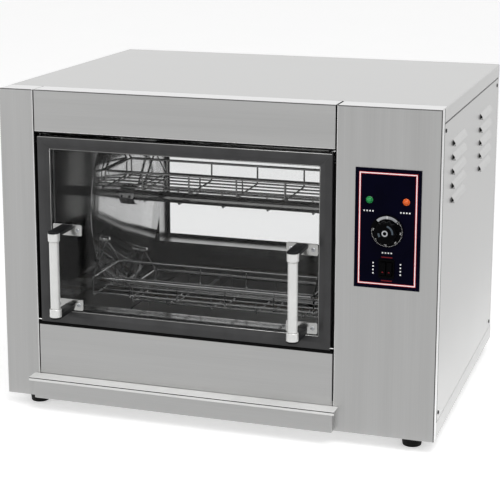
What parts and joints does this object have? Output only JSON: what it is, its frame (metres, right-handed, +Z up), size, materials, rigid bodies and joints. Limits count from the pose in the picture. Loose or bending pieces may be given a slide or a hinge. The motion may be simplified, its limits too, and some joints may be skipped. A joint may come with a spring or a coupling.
{
  "type": "chicken rotisserie oven",
  "caption": "Countertop carousel rotisserie oven with a lift-up glass door, level-hanging wire baskets on a turning wheel, a sliding drip tray and a column of controls.",
  "frame": {"origin": "on the floor, under the middle of the overall box", "axes": "+X to the right as seen from the front, +Y towards the back, +Z up"},
  "size_m": [0.816, 0.6992, 0.602],
  "materials": {
    "stainless": "horizontally brushed",
    "liner": "bright polished sheet",
    "plating": "bright plated",
    "clear_glass": "clear, flat",
    "dark_frame": "dark grey satin",
    "bar_metal": "satin anodised",
    "black_plastic": "matt moulded",
    "overlay": "near-black semi-gloss",
    "green_lens": "clear moulded",
    "orange_lens": "clear moulded",
    "rubber": "matt moulded",
    "element": "dull, heat-tinted",
    "zinc_plate": "plain plated",
    "motor_paint": "satin",
    "pale_moulding": "matt moulded"
  },
  "bodies": {
    "cabinet": {"base_pan": "stainless", "feet": "rubber", "left_side_panel": "stainless", "right_side_panel": "stainless", "top_cover": "stainless", "rear_panel": "stainless", "rear_window_gasket": "rubber", "rear_window_glass": "clear_glass", "left_front_column": "stainless", "control_column": "stainless", "front_header": "stainless", "lower_front_panel": "stainless", "chamber_left_wall": "liner", "chamber_right_wall": "liner", "chamber_ceiling": "liner", "chamber_rear_wall": "liner", "door_stops": "liner", "top_heater": "element", "lower_rear_heater": "element", "heater_supports": "zinc_plate", "lamp_socket": "pale_moulding", "lamp_bulb": "clear_glass", "shaft_bearings": "zinc_plate", "motor_bracket": "zinc_plate", "gear_motor": "motor_paint", "door_hinge_brackets": "zinc_plate", "control_plate": "overlay", "green_lamp": "green_lens", "orange_lamp": "orange_lens", "thermostat_body": "pale_moulding", "switch_housing": "black_plastic", "tray_runners": "liner", "terminal_block": "pale_moulding", "cable_gland": "black_plastic"},
    "door": {"door_top_rail": "dark_frame", "door_bottom_rail": "dark_frame", "door_left_stile": "dark_frame", "door_right_stile": "dark_frame", "door_glass": "clear_glass", "door_hinge_pins": "zinc_plate", "left_handle_bar": "bar_metal", "right_handle_bar": "bar_metal", "handle_caps": "bar_metal", "handle_arms": "black_plastic", "handle_plates": "plating"},
    "rotor": {"rotor_shaft": "plating", "left_disc": "liner", "right_disc": "liner", "basket_pins": "plating", "drive_coupling": "zinc_plate"},
    "basket_1": {"basket_1": "plating"},
    "basket_2": {"basket_2": "plating"},
    "basket_3": {"basket_3": "plating"},
    "basket_4": {"basket_4": "plating"},
    "drip_tray": {"drip_tray": "stainless", "tray_front": "stainless"},
    "knob": {"thermostat_knob": "black_plastic", "thermostat_spindle": "zinc_plate"},
    "rotation_rocker": {"rotation_rocker": "black_plastic"},
    "lamp_rocker": {"lamp_rocker": "black_plastic"}
  },
  "joints": [
    {"name": "door_lift", "type": "hinge", "parent": "cabinet", "child": "door", "pos_m": [-0.059, -0.27635, 0.5065], "axis": [-1, 0, 0], "range_deg": [0, 100]},
    {"name": "rotor_spin", "type": "hinge", "parent": "cabinet", "child": "rotor", "pos_m": [-0.059, 0.0128, 0.351], "axis": [1, 0, 0], "continuous": true},
    {"name": "basket_1_swing", "type": "hinge", "parent": "rotor", "child": "basket_1", "pos_m": [-0.059, -0.0494, 0.48198], "axis": [1, 0, 0], "continuous": true},
    {"name": "basket_2_swing", "type": "hinge", "parent": "rotor", "child": "basket_2", "pos_m": [-0.059, 0.14378, 0.4132], "axis": [1, 0, 0], "continuous": true},
    {"name": "basket_3_swing", "type": "hinge", "parent": "rotor", "child": "basket_3", "pos_m": [-0.059, 0.075, 0.22002], "axis": [1, 0, 0], "continuous": true},
    {"name": "basket_4_swing", "type": "hinge", "parent": "rotor", "child": "basket_4", "pos_m": [-0.059, -0.11818, 0.2888], "axis": [1, 0, 0], "continuous": true},
    {"name": "tray_slide", "type": "slide", "parent": "cabinet", "child": "drip_tray", "axis": [0, -1, 0], "range_m": [0, 0.4]},
    {"name": "knob_turn", "type": "hinge", "parent": "cabinet", "child": "knob", "pos_m": [0.31375, -0.28975, 0.392], "axis": [0, 1, 0], "range_deg": [0, 290]},
    {"name": "rotation_rocker_tilt", "type": "hinge", "parent": "cabinet", "child": "rotation_rocker", "pos_m": [0.30825, -0.28745, 0.326], "axis": [1, 0, 0], "range_deg": [0, 18]},
    {"name": "lamp_rocker_tilt", "type": "hinge", "parent": "cabinet", "child": "lamp_rocker", "pos_m": [0.31925, -0.28745, 0.326], "axis": [1, 0, 0], "range_deg": [0, 18]}
  ],
  "couplings": [
    {"joint": "basket_1_swing", "follows": "rotor_spin", "ratio": -1},
    {"joint": "basket_2_swing", "follows": "rotor_spin", "ratio": -1},
    {"joint": "basket_3_swing", "follows": "rotor_spin", "ratio": -1},
    {"joint": "basket_4_swing", "follows": "rotor_spin", "ratio": -1}
  ]
}
